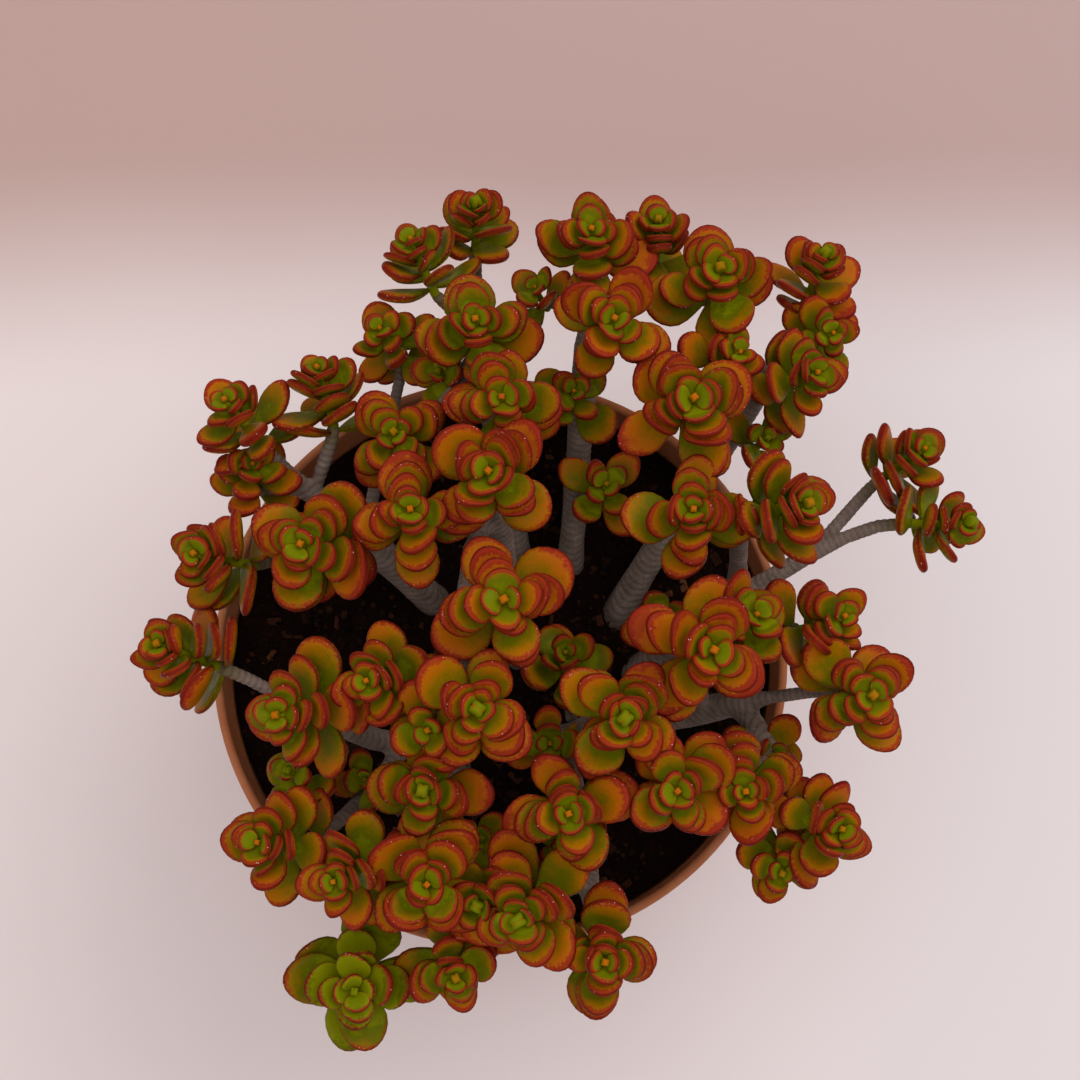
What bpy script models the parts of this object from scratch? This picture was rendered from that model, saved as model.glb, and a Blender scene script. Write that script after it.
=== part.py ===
"""A jade plant in a round pot.

Metres, +Z up. The origin is the middle of the pot's underside, which rests on the table. +Y is the back.
Each limb is one stem with its boughs. At the end of every bough sits a shoot: crossed pairs of thick leaves
that grow out of one short stalk, the oldest pair lowest, and a closed bud on top.
"""

import math
from collections import namedtuple

import bmesh
import bpy
import numpy as np
from mathutils import Matrix, Vector

# Pot
RIM_DIAMETER = 0.280
BASE_DIAMETER = 0.200
POT_HEIGHT = 0.210
WALL = 0.0032
FLOOR = 0.0040
LIP_THICKNESS = 0.0044
BAND_HEIGHT = 0.032
BAND_STEP = 0.0030
BAND_DRAFT = 0.0020
FOOT_ROUNDING = 0.0025
DRAIN_HOLES = 4
DRAIN_DIAMETER = 0.012
DRAIN_CIRCLE_DIAMETER = 0.120

# Soil
SOIL_DROP = 0.020
SOIL_MOUND = 0.006

# Crown: where the shoots stand, measured from the pot's axis and up from the lip
CROWN_RADIUS = 0.250
CROWN_RISE = 0.150

# Leaves of a full-grown shoot's lowest pair
LEAF_LENGTH = 0.0265
LEAF_WIDTH = 0.0205
LEAF_THICKNESS = 0.0042
PAIR_SPACING = 0.0055
STALK_WIDTH = 0.0050
STALK_LENGTH = 0.0050

# Stems
BOUGH_TIP_DIAMETER = 0.0064
LIMB_GAIN = 0.52  # a stem that feeds n boughs is n ** LIMB_GAIN times as thick as one bough's tip
ROOT_FLARE = 1.25
ROOT_DEPTH = 0.028
CLUMP_CENTRE = (0.010, -0.006)
CLUMP_RADIUS = 0.040

# How strongly a leader, a bough and the end of either holds its first direction
LEADER_PULL, BOUGH_PULL, END_PULL = 1.1, 0.75, 0.6
LEADER_RISE = 1.2  # how much a leader sets out upwards rather than towards its shoot
FORK_ZONE = (0.20, 0.75)  # the stretch of a leader, as shares of its length, where boughs may leave
FORK_BEND_COST = 0.8  # how much a bough that leaves at a right angle counts as a longer one
LIP_CLEARANCE = 0.013  # from the lip up to the middle of a bough that crosses it
LIP_ZONE = 0.025  # how far in and out from the lip that clearance holds

# How neighbouring shoots make room for one another
ROOM = 0.0009  # the air they keep
SETTLE_STEPS, REGROW_EVERY = 160, 4
SHOOT_GIVES, STEM_GIVES = 0.30, 0.48  # the share of an overlap that one step takes away
NEARBY = 0.020  # how far past a shoot's reach a bough still matters
FREE_END = 0.010  # the last stretch of a bough may be this close to its own shoot

FIT_GAP = 0.0003  # air left between two pieces that touch
ROUND_SIDES = 40
LIP_SIDES = 4
STEM_SIDES = 7
DRAIN_SIDES = 12
LEADER_STATIONS, BOUGH_STATIONS = 10, 6
ROUND_EDGE, LEAF_EDGE, BARK_EDGE = 40, 50, 60  # degrees below which a piece is shaded smooth

UP = Vector((0, 0, 1))

# How the leaves of one shoot change from its lowest pair to its youngest
OLD_LEAN, YOUNG_LEAN = math.radians(78), math.radians(24)
YOUNG_SHARE = 0.52  # the youngest pair's length, as a share of the lowest pair's
BELLY_AT, TIP_WIDTH, TIP_THICKNESS = 0.60, 0.55, 0.60
BUD_HEIGHT, BUD_TAPER = 1.1, 0.45

# Balls that stand for a shoot while the shoots find room: how many, and their size as a share of the part's own
STALK_BALLS, STALK_BALL = 5, 0.70
LEAF_BALLS, LEAF_BALL_ROWS, LEAF_BALL = 8, 7, 0.60

Kind = namedtuple("Kind", "share pairs")
KINDS = {
    "grand": Kind(1.10, 4),
    "full": Kind(1.00, 4),
    "mid": Kind(0.88, 4),
    "small": Kind(0.76, 3),
}

# Each limb: the bearing of its foot in the clump, or None for the middle, and its shoots. A shoot's bud stands
# east, north (percent of CROWN_RADIUS) and high (percent of CROWN_RISE), leans by so many degrees towards a
# bearing, and its lowest pair lies along the bearing `turn`. Bearings run from +X towards +Y.
Shoot = namedtuple("Shoot", "east north high lean towards turn kind")
LIMBS = {
    "centre": (None, [
        Shoot(2, -1, 100, 10, -75, 40, "grand"),
        Shoot(-1, 21, 100, 10, -90, 130, "grand"),
        Shoot(-14, 16, 93, 5, -45, 115, "full"),
        Shoot(-2, -19, 97, 15, -55, 135, "full"),
    ]),
    "back": (90, [
        Shoot(1, 37, 83, 10, -90, 10, "full"),
        Shoot(-4, 55, 70, 5, 100, 0, "full"),
        Shoot(-5, 87, 33, 35, 85, 20, "mid"),
        Shoot(-18, 79, 40, 55, 120, 30, "mid"),
        Shoot(-19, 34, 63, 10, -120, 30, "mid"),
    ]),
    "back_right": (55, [
        Shoot(21, 51, 83, 15, -85, 160, "full"),
        Shoot(41, 65, 67, 5, 60, 0, "grand"),
        Shoot(17, 73, 67, 5, 110, 0, "full"),
        Shoot(30, 80, 50, 30, 90, 0, "mid"),
    ]),
    "right_back": (20, [
        Shoot(35, 36, 87, 10, -45, 25, "grand"),
        Shoot(46, 50, 60, 30, -10, 0, "small"),
        Shoot(61, 47, 57, 35, -15, 0, "mid"),
        Shoot(64, 57, 43, 25, -35, 20, "small"),
        Shoot(62, 73, 43, 30, 70, 120, "mid"),
    ]),
    "right": (-15, [
        Shoot(34, 17, 87, 5, -105, 95, "full"),
        Shoot(57, 18, 80, 50, -10, 125, "full"),
        Shoot(64, 1, 63, 40, 5, 20, "mid"),
        Shoot(82, 36, 40, 45, 25, 30, "mid"),
        Shoot(90, 20, 37, 70, -10, 0, "mid"),
    ]),
    "front_right": (-50, [
        Shoot(38, -9, 93, 20, -40, 165, "grand"),
        Shoot(66, -15, 73, 20, -45, 35, "full"),
        Shoot(41, -32, 73, 25, -120, 90, "mid"),
        Shoot(62, -37, 60, 30, -20, 80, "mid"),
        Shoot(52, -42, 40, 35, -105, 80, "small"),
    ]),
    "front": (-85, [
        Shoot(22, -22, 93, 15, -95, 60, "full"),
        Shoot(13, -34, 87, 15, -100, 10, "full"),
        Shoot(30, -33, 83, 20, -110, 50, "full"),
        Shoot(19, -60, 70, 15, -75, 0, "full"),
        Shoot(3, -54, 80, 30, -120, 20, "full"),
    ]),
    "front_left": (-125, [
        Shoot(-12, -32, 80, 10, -125, 0, "mid"),
        Shoot(-13, -46, 83, 15, -60, 37, "full"),
        Shoot(-27, -48, 77, 40, -145, 105, "mid"),
        Shoot(-24, -65, 57, 20, -95, 70, "grand"),
        Shoot(-6, -64, 63, 35, -70, 15, "mid"),
    ]),
    "left": (-165, [
        Shoot(-24, -13, 83, 35, -165, 125, "mid"),
        Shoot(-40, -19, 77, 50, -160, 80, "full"),
        Shoot(-43, -39, 67, 35, -175, 65, "mid"),
        Shoot(-63, -3, 57, 60, 165, 100, "full"),
    ]),
    "left_back": (140, [
        Shoot(-35, 11, 80, 20, -150, 50, "grand"),
        Shoot(-57, 12, 60, 60, 180, 45, "full"),
        Shoot(-42, 36, 47, 15, 60, 90, "small"),
        Shoot(-50, 42, 57, 40, 135, 115, "mid"),
        Shoot(-34, 51, 53, 55, 105, 110, "mid"),
        Shoot(-24, 60, 37, 25, 150, 45, "small"),
    ]),
}


def clear_scene():
    for obj in list(bpy.data.objects):
        bpy.data.objects.remove(obj, do_unlink=True)


def material(name, colour, roughness):
    made = bpy.data.materials.get(name)
    if made is None:
        made = bpy.data.materials.new(name)
        made.use_nodes = True
        made.diffuse_color = (*colour, 1)
        shader = made.node_tree.nodes["Principled BSDF"]
        shader.inputs["Base Color"].default_value = (*colour, 1)
        shader.inputs["Roughness"].default_value = roughness
        shader.inputs["Metallic"].default_value = 0.0
    return made


def terracotta_plastic():
    return material("terracotta_plastic", (0.52, 0.20, 0.09), 0.60)


def potting_soil():
    return material("potting_soil", (0.022, 0.014, 0.011), 0.95)


def grey_bark():
    return material("grey_bark", (0.21, 0.16, 0.13), 0.85)


def jade_leaf():
    return material("jade_leaf", (0.42, 0.20, 0.03), 0.38)


def object_from(bm, name, finish):
    """A new object made of the bmesh, which is freed."""
    bmesh.ops.recalc_face_normals(bm, faces=bm.faces)
    mesh = bpy.data.meshes.new(name)
    bm.to_mesh(mesh)
    bm.free()
    mesh.materials.append(finish)
    obj = bpy.data.objects.new(name, mesh)
    bpy.context.scene.collection.objects.link(obj)
    return obj


def boolean(obj, tools, operation):
    """Joins the tools to the object or cuts them from it, and removes them."""
    for tool in tools:
        step = obj.modifiers.new(tool.name, "BOOLEAN")
        step.operation = operation
        step.solver = "EXACT"
        step.object = tool
    evaluated = obj.evaluated_get(bpy.context.evaluated_depsgraph_get())
    finished = bpy.data.meshes.new_from_object(evaluated)
    obj.modifiers.clear()
    obj.data = finished
    for tool in tools:
        bpy.data.objects.remove(tool, do_unlink=True)


def extrude_cap(bm, cap):
    """Extrudes a face that closes a shell and returns the face that now closes it."""
    extruded = bmesh.ops.extrude_face_region(bm, geom=[cap, *cap.edges, *cap.verts])["geom"]
    return next(item for item in extruded if isinstance(item, bmesh.types.BMFace))


def smooth(obj, angle):
    obj.data.shade_smooth()
    obj.data.set_sharp_from_angle(angle=math.radians(angle))


def turned(name, profile, finish):
    """A solid of revolution about Z. The profile starts and ends on the axis."""
    bm = bmesh.new()
    points = [bm.verts.new((radius, 0, height)) for radius, height in profile]
    edges = [bm.edges.new(pair) for pair in zip(points, points[1:])]
    bmesh.ops.spin(
        bm, geom=points + edges, cent=(0, 0, 0), axis=(0, 0, 1),
        angle=2 * math.pi, steps=ROUND_SIDES, use_merge=True,
    )
    bmesh.ops.remove_doubles(bm, verts=bm.verts, dist=1e-6)
    return object_from(bm, name, finish)


def cylinder(name, centre, radius, bottom, top, sides, finish):
    bm = bmesh.new()
    place = Matrix.Translation((centre[0], centre[1], (bottom + top) / 2))
    bmesh.ops.create_cone(
        bm, cap_ends=True, segments=sides, radius1=radius, radius2=radius,
        depth=top - bottom, matrix=place,
    )
    return object_from(bm, name, finish)


# Pot and soil

def shoulder_radius():
    """The wall's outer radius just under the band."""
    return RIM_DIAMETER / 2 - BAND_DRAFT - BAND_STEP


def inner_radius(height):
    """The pot's inner radius at a height above its floor."""
    band_bottom = POT_HEIGHT - BAND_HEIGHT
    lip = RIM_DIAMETER / 2 - LIP_THICKNESS
    shoulder = shoulder_radius() - WALL
    if height > band_bottom:
        return shoulder + (lip - shoulder) * (height - band_bottom) / BAND_HEIGHT
    base = BASE_DIAMETER / 2 - WALL
    return base + (shoulder - base) * height / band_bottom


def make_pot():
    rim = RIM_DIAMETER / 2
    base = BASE_DIAMETER / 2
    band_bottom = POT_HEIGHT - BAND_HEIGHT
    rounding = LIP_THICKNESS / 2
    lip = [
        (rim - rounding + rounding * math.cos(turn), POT_HEIGHT - rounding + rounding * math.sin(turn))
        for turn in (math.pi * step / LIP_SIDES for step in range(LIP_SIDES + 1))
    ]
    profile = [
        (0, 0),
        (base - FOOT_ROUNDING, 0),
        (base, FOOT_ROUNDING),
        (shoulder_radius(), band_bottom),
        (rim - BAND_DRAFT, band_bottom + BAND_STEP / 2),
        *lip,
        (inner_radius(band_bottom), band_bottom),
        (inner_radius(FLOOR + FOOT_ROUNDING), FLOOR + FOOT_ROUNDING),
        (inner_radius(FLOOR) - FOOT_ROUNDING, FLOOR),
        (0, FLOOR),
    ]
    pot = turned("pot", profile, terracotta_plastic())
    holes = []
    for index in range(DRAIN_HOLES):
        bearing = 2 * math.pi * (index + 0.5) / DRAIN_HOLES
        centre = Vector((math.cos(bearing), math.sin(bearing))) * DRAIN_CIRCLE_DIAMETER / 2
        holes.append(cylinder(
            f"drain_{index}", centre, DRAIN_DIAMETER / 2, -FLOOR, 2 * FLOOR, DRAIN_SIDES, terracotta_plastic(),
        ))
    boolean(pot, holes, "DIFFERENCE")
    smooth(pot, ROUND_EDGE)


def soil_height(reach):
    """The height of the soil's surface at a distance from the pot's axis."""
    edge = inner_radius(POT_HEIGHT - SOIL_DROP)
    return POT_HEIGHT - SOIL_DROP + SOIL_MOUND * (0.5 + 0.5 * math.cos(math.pi * min(reach / edge, 1)))


def make_soil(sockets):
    bottom = FLOOR + FIT_GAP
    fillet = FLOOR + FOOT_ROUNDING
    edge_height = POT_HEIGHT - SOIL_DROP
    band_bottom = POT_HEIGHT - BAND_HEIGHT
    edge = inner_radius(edge_height) - FIT_GAP
    profile = [
        (0, bottom),
        (inner_radius(FLOOR) - FOOT_ROUNDING - 2 * FIT_GAP, bottom),
        (inner_radius(fillet) - 2 * FIT_GAP, fillet + FIT_GAP),
    ]
    if edge_height > band_bottom:
        profile.append((inner_radius(band_bottom) - FIT_GAP, band_bottom))
    profile += [(edge * share, soil_height(edge * share)) for share in (1.0, 0.75, 0.5, 0.25, 0.0)]
    soil = turned("soil", profile, potting_soil())
    boolean(soil, sockets, "DIFFERENCE")
    smooth(soil, ROUND_EDGE)


# Shoots

def leaf_sizes(kind):
    """Length, lean from the stalk and height on the stalk of each pair, from the lowest up."""
    grown = LEAF_LENGTH * kind.share
    sizes = []
    for pair in range(kind.pairs):
        age = 1 - pair / (kind.pairs - 1)
        length = grown * (YOUNG_SHARE + (1 - YOUNG_SHARE) * age)
        lean = YOUNG_LEAN + (OLD_LEAN - YOUNG_LEAN) * age
        height = STALK_LENGTH + PAIR_SPACING * (pair + 0.5)
        sizes.append((length, lean, height))
    return sizes


def shoot_height(kind):
    """From the foot of the stalk to the tips of the youngest leaves."""
    length, lean, height = leaf_sizes(kind)[-1]
    return height + length * math.cos(lean)


def leaf_section(length, along):
    """A leaf's width and thickness at a share of its length. It is widest past its middle."""
    share = length / LEAF_LENGTH
    width, thickness = LEAF_WIDTH * share, LEAF_THICKNESS * math.sqrt(share)
    if along <= BELLY_AT:
        grow = along / BELLY_AT
        return STALK_WIDTH + (width - STALK_WIDTH) * grow, thickness
    fade = (along - BELLY_AT) / (1 - BELLY_AT)
    return width * (1 - (1 - TIP_WIDTH) * fade), thickness * (1 - (1 - TIP_THICKNESS) * fade)


def grow_leaf(bm, face, length, lean):
    """Extrudes one side of the stalk outwards into a leaf."""
    out = face.normal.copy()
    out.z = 0
    out.normalize()
    side = UP.cross(out)
    along = out * math.sin(lean) + UP * math.cos(lean)
    across = side.cross(along) * -1
    root = face.calc_center_median()
    for share in (BELLY_AT, 1.0):
        face = bmesh.ops.extrude_discrete_faces(bm, faces=[face])["faces"][0]
        width, thickness = leaf_section(length, share)
        middle = face.calc_center_median()
        for vert in face.verts:
            offset = vert.co - middle
            sideways = math.copysign(width / 2, offset.dot(side))
            upwards = math.copysign(thickness / 2, offset.dot(UP if share == BELLY_AT else across))
            vert.co = root + along * length * share + side * sideways + across * upwards


def shoot_mesh(kind):
    """A closed shoot that stands on the origin, with its lowest pair along X."""
    bm = bmesh.new()
    half = STALK_WIDTH / 2
    bmesh.ops.create_grid(bm, x_segments=1, y_segments=1, size=half)
    bmesh.ops.translate(bm, verts=bm.verts, vec=UP * FIT_GAP)
    base = bm.faces[:][0]
    top = base
    rises = [STALK_LENGTH - FIT_GAP] + [PAIR_SPACING] * kind.pairs
    leaf_faces = []
    for index, rise in enumerate(rises):
        before = set(bm.faces)
        top = extrude_cap(bm, top)
        bmesh.ops.translate(bm, verts=top.verts, vec=UP * rise)
        walls = [face for face in bm.faces if face not in before and face is not top]
        if index:
            pair = leaf_sizes(kind)[index - 1]
            axis = 0 if index % 2 else 1
            for wall in walls:
                wall.normal_update()
                if abs(wall.calc_center_median()[axis]) > half / 2:
                    leaf_faces.append((wall, pair))
    bud = extrude_cap(bm, top)
    bmesh.ops.translate(bm, verts=bud.verts, vec=UP * STALK_WIDTH * BUD_HEIGHT)
    middle = bud.calc_center_median()
    for vert in bud.verts:
        vert.co = middle + (vert.co - middle) * BUD_TAPER
    bmesh.ops.recalc_face_normals(bm, faces=bm.faces)
    for face, (length, lean, _) in leaf_faces:
        face.normal_update()
        grow_leaf(bm, face, length, lean)
    return bm


def probes(kind):
    """Balls that fill a shoot's stalk and leaves: their middles and radii, standing on the origin."""
    middles, radii = [], []
    for height in np.linspace(STALK_WIDTH, shoot_height(kind), STALK_BALLS):
        middles.append((0, 0, height))
        radii.append(STALK_WIDTH * STALK_BALL)
    for pair, (length, lean, height) in enumerate(leaf_sizes(kind)):
        for way in (1, -1):
            out = np.array([way, 0, 0]) if pair % 2 == 0 else np.array([0, way, 0])
            side = np.array([-out[1], out[0], 0])
            root = np.array([0, 0, height]) + out * STALK_WIDTH / 2
            along = out * math.sin(lean) + np.array([0, 0, math.cos(lean)])
            for share in np.linspace(0.1, 1.0, LEAF_BALLS):
                width, thickness = leaf_section(length, share)
                ball = thickness * LEAF_BALL
                for offset in np.linspace(-1, 1, LEAF_BALL_ROWS):
                    middles.append(root + along * length * share + side * offset * (width / 2 - ball / 2))
                    radii.append(ball)
    return np.array(middles), np.array(radii)


class Placed:
    """One shoot where it stands: its kind, its limb, its seat at the bough's end and its turning."""

    def __init__(self, limb, plan):
        self.limb = limb
        self.kind = KINDS[plan.kind]
        lean, towards = math.radians(plan.lean), math.radians(plan.towards)
        self.axis = Vector((math.sin(lean) * math.cos(towards), math.sin(lean) * math.sin(towards), math.cos(lean)))
        tilt = UP.rotation_difference(self.axis)
        self.turning = tilt.to_matrix() @ Matrix.Rotation(math.radians(plan.turn), 3, "Z")
        bud = Vector((
            plan.east / 100 * CROWN_RADIUS,
            plan.north / 100 * CROWN_RADIUS,
            POT_HEIGHT + plan.high / 100 * CROWN_RISE,
        ))
        self.seat = bud - self.axis * shoot_height(self.kind)
        self.local_balls, self.ball_radii = probes(self.kind)
        self.reach = float(np.max(np.linalg.norm(self.local_balls, axis=1) + self.ball_radii))

    def balls(self):
        return self.local_balls @ np.array(self.turning).T + np.array(self.seat)


# Stems

class Route:
    """The centre line of one bough: where it forks from, where it ends, and how thick it is along the way."""

    def __init__(self, start, start_way, shoot, parent, fork, stations):
        self.shoot, self.parent, self.fork = shoot, parent, fork
        end, end_way = shoot.seat, shoot.axis
        span = (end - start).length
        pull_out = start_way * span * (LEADER_PULL if parent is None else BOUGH_PULL)
        pull_in = end_way * span * END_PULL
        self.points = []
        for index in range(stations):
            t = index / (stations - 1)
            self.points.append(
                start * (2 * t**3 - 3 * t**2 + 1) + pull_out * (t**3 - 2 * t**2 + t)
                + end * (3 * t**2 - 2 * t**3) + pull_in * (t**3 - t**2)
            )
        self.fed = np.ones(stations)
        self.arch_over_lip()

    def arch_over_lip(self):
        """Raises the route's middle until it clears the pot's lip."""
        last = len(self.points) - 1
        inside, outside = RIM_DIAMETER / 2 - LIP_ZONE, RIM_DIAMETER / 2 + LIP_ZONE
        lift = 0.0
        for index in range(1, last):
            point = self.points[index]
            if inside < point.xy.length < outside:
                short = POT_HEIGHT + LIP_CLEARANCE - point.z
                lift = max(lift, short / math.sin(math.pi * index / last))
        for index in range(1, last):
            self.points[index].z += lift * math.sin(math.pi * index / last)

    def way(self, index):
        before = self.points[max(index - 1, 0)]
        after = self.points[min(index + 1, len(self.points) - 1)]
        return (after - before).normalized()

    def radius(self, index):
        return BOUGH_TIP_DIAMETER / 2 * self.fed[index] ** LIMB_GAIN


def foot_of(bearing):
    """Where a limb leaves the soil."""
    middle = Vector((*CLUMP_CENTRE, 0))
    if bearing is not None:
        angle = math.radians(bearing)
        middle += Vector((math.cos(angle), math.sin(angle), 0)) * CLUMP_RADIUS
    middle.z = soil_height(middle.xy.length) - ROOT_DEPTH
    return middle


def best_fork(routes, seat):
    """The point on the boughs so far that the next one leaves at the easiest angle."""
    best = None
    for route in routes:
        last = len(route.points) - 1
        first = FORK_ZONE[0] * last if route.parent is None else 0
        for index in range(1, last):
            if not first <= index <= FORK_ZONE[1] * last:
                continue
            span = seat - route.points[index]
            bend = span.angle(route.way(index))
            cost = span.length * (1 + FORK_BEND_COST * (bend / (math.pi / 2)) ** 2)
            if best is None or cost < best[0]:
                best = (cost, route, index)
    return best[1], best[2]


def grow_limb(bearing, shoots):
    """The limb's leader to its farthest shoot, then a bough to each other one, farthest first."""
    foot = foot_of(bearing)
    order = sorted(shoots, key=lambda shoot: -(shoot.seat - foot).length)
    collar = foot + UP * ROOT_DEPTH
    leader_way = ((order[0].seat - collar).normalized() + UP * LEADER_RISE).normalized()
    routes = [Route(foot, leader_way, order[0], None, 0, LEADER_STATIONS)]
    for shoot in order[1:]:
        parent, fork = best_fork(routes, shoot.seat)
        start = parent.points[fork]
        way = (parent.way(fork) + (shoot.seat - start).normalized()).normalized()
        routes.append(Route(start, way, shoot, parent, fork, BOUGH_STATIONS))
    for route in routes[1:]:
        downstream = route
        while downstream.parent is not None:
            downstream.parent.fed[: downstream.fork + 1] += 1
            downstream = downstream.parent
    routes[0].fed[:2] *= ROOT_FLARE ** (1 / LIMB_GAIN)
    return routes


def grow_limbs(shoots):
    return {
        name: grow_limb(bearing, [shoot for shoot in shoots if shoot.limb == name])
        for name, (bearing, _) in LIMBS.items()
    }


def stem_balls(limbs):
    """Balls along every bough: middles, radii and the shoot at that bough's end."""
    middles, radii, owners = [], [], []
    for routes in limbs.values():
        for route in routes:
            for index, (start, end) in enumerate(zip(route.points, route.points[1:])):
                radius = max(route.radius(index), route.radius(index + 1))
                count = math.ceil((end - start).length / radius)
                for ball in range(count):
                    middles.append(start.lerp(end, ball / count))
                    radii.append(radius)
                    owners.append(route.shoot)
    return np.array(middles), np.array(radii), owners


def push(middles, radii, others, other_radii):
    """How far and which way balls must move to clear others."""
    apart = middles[:, None] - others[None]
    distance = np.linalg.norm(apart, axis=2)
    overlap = radii[:, None] + other_radii[None] + ROOM - distance
    touching = overlap > 0
    if not touching.any():
        return np.zeros(3), 0.0
    ways = apart[touching] / np.maximum(distance[touching], 1e-6)[:, None]
    mean = (ways * overlap[touching][:, None]).sum(axis=0)
    length = np.linalg.norm(mean)
    if length == 0:
        mean, length = np.array(UP), 1.0
    return mean / length * overlap.max(), overlap.max()


def settle(shoots):
    """Neighbouring shoots and boughs push each other apart until none touch, as crowded shoots do."""
    for step in range(SETTLE_STEPS):
        if step % REGROW_EVERY == 0:
            limbs = grow_limbs(shoots)
            stem_middles, stem_radii, owners = stem_balls(limbs)
        balls = [shoot.balls() for shoot in shoots]
        moves = [np.zeros(3) for _ in shoots]
        worst = 0.0
        for first in range(len(shoots)):
            for second in range(first):
                gap = (shoots[first].seat - shoots[second].seat).length
                if gap > shoots[first].reach + shoots[second].reach:
                    continue
                move, overlap = push(
                    balls[first], shoots[first].ball_radii, balls[second], shoots[second].ball_radii,
                )
                moves[first] += move * SHOOT_GIVES
                moves[second] -= move * SHOOT_GIVES
                worst = max(worst, overlap)
        for index, shoot in enumerate(shoots):
            seat = np.array(shoot.seat)
            near = np.linalg.norm(stem_middles - seat, axis=1) < shoot.reach + NEARBY
            for other, owner in enumerate(owners):
                if near[other] and owner is shoot:
                    near[other] = np.linalg.norm(stem_middles[other] - seat) > FREE_END
            if near.any():
                move, overlap = push(balls[index], shoot.ball_radii, stem_middles[near], stem_radii[near])
                moves[index] += move * STEM_GIVES
                worst = max(worst, overlap)
        if worst < ROOM / 2 and step % REGROW_EVERY == 0:
            break
        for shoot, move in zip(shoots, moves):
            shoot.seat += Vector(move)
    else:
        limbs = grow_limbs(shoots)
    return limbs


def tube(name, points, radii, ways, sides, finish):
    """A closed tube through the points, extruded from one ring to the next."""
    bm = bmesh.new()
    bmesh.ops.create_circle(bm, cap_ends=True, segments=sides, radius=1.0)
    cap = bm.faces[:][0]
    turning = UP.rotation_difference(ways[0])
    ring = Matrix.Identity(4)
    for index, (point, radius, way) in enumerate(zip(points, radii, ways)):
        if index:
            turning = ways[index - 1].rotation_difference(way) @ turning
            cap = extrude_cap(bm, cap)
        placed = Matrix.LocRotScale(point, turning, Vector((radius, radius, radius)))
        bmesh.ops.transform(bm, matrix=placed @ ring.inverted(), verts=cap.verts)
        ring = placed
    return object_from(bm, name, finish)


def make_stem(name, routes):
    tubes = []
    for number, route in enumerate(routes):
        count = len(route.points)
        ways = [route.way(index) for index in range(count)]
        ways[-1] = route.shoot.axis
        radii = [route.radius(index) for index in range(count)]
        label = name if number == 0 else f"{name}_bough_{number}"
        tubes.append(tube(label, route.points, radii, ways, STEM_SIDES, grey_bark()))
    stem = tubes[0]
    boolean(stem, tubes[1:], "UNION")
    smooth(stem, BARK_EDGE)


def make_socket(name, route):
    """The hole that a limb's foot leaves in the soil, wider than the foot by the fit gap."""
    deep = route.points[0] - UP * FIT_GAP
    radius = route.radius(0) + 2 * FIT_GAP
    points, ways, radii = [deep], [route.way(0)], [radius]
    for index in range(1, len(route.points)):
        points.append(route.points[index])
        ways.append(route.way(index))
        radii.append(route.radius(index) + 2 * FIT_GAP)
        if route.points[index].z > POT_HEIGHT:
            break
    return tube(name, points, radii, ways, STEM_SIDES, potting_soil())


def main():
    clear_scene()
    make_pot()
    shoots = [Placed(limb, plan) for limb, (_, plans) in LIMBS.items() for plan in plans]
    limbs = settle(shoots)
    sockets = []
    for name, routes in limbs.items():
        make_stem(f"{name}_stem", routes)
        sockets.append(make_socket(f"{name}_socket", routes[0]))
    make_soil(sockets)
    numbers = {}
    for shoot in shoots:
        numbers[shoot.limb] = numbers.get(shoot.limb, 0) + 1
        leaves = object_from(shoot_mesh(shoot.kind), f"{shoot.limb}_leaves_{numbers[shoot.limb]}", jade_leaf())
        leaves.matrix_world = Matrix.Translation(shoot.seat) @ shoot.turning.to_4x4()
        smooth(leaves, LEAF_EDGE)


main()
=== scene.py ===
"""The jade plant in its pot: leaves, bark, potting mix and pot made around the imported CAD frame."""

import heapq
import math
import random

import bmesh
import bpy
import numpy as np
from mathutils import Matrix, Vector, noise


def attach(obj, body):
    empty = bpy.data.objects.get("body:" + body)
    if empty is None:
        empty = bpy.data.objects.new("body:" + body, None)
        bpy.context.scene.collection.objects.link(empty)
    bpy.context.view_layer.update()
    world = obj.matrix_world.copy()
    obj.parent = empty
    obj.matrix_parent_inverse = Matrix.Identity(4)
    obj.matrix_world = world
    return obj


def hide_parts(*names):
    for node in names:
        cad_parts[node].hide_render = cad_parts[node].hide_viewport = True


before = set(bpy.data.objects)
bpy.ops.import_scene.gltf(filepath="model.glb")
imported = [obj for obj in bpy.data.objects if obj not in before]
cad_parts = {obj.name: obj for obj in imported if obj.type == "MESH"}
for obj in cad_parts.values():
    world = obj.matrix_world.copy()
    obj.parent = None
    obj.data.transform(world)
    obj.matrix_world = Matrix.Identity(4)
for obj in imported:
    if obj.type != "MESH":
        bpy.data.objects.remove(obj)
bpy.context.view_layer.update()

UP = Vector((0, 0, 1))
BODY = "root"
MM = 0.001


def eased(value):
    """Goes from 0 to 1 with a soft start and a soft end."""
    value = min(max(value, 0.0), 1.0)
    return value * value * (3 - 2 * value)


def all_eased(values):
    """The same for a whole array."""
    values = np.clip(values, 0, 1)
    return values * values * (3 - 2 * values)


# Reading the frame

def cad_points(node):
    """The node's corners, each once."""
    points = np.array([vert.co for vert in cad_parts[node].data.vertices])
    return np.unique(np.round(points, 6), axis=0)


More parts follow.
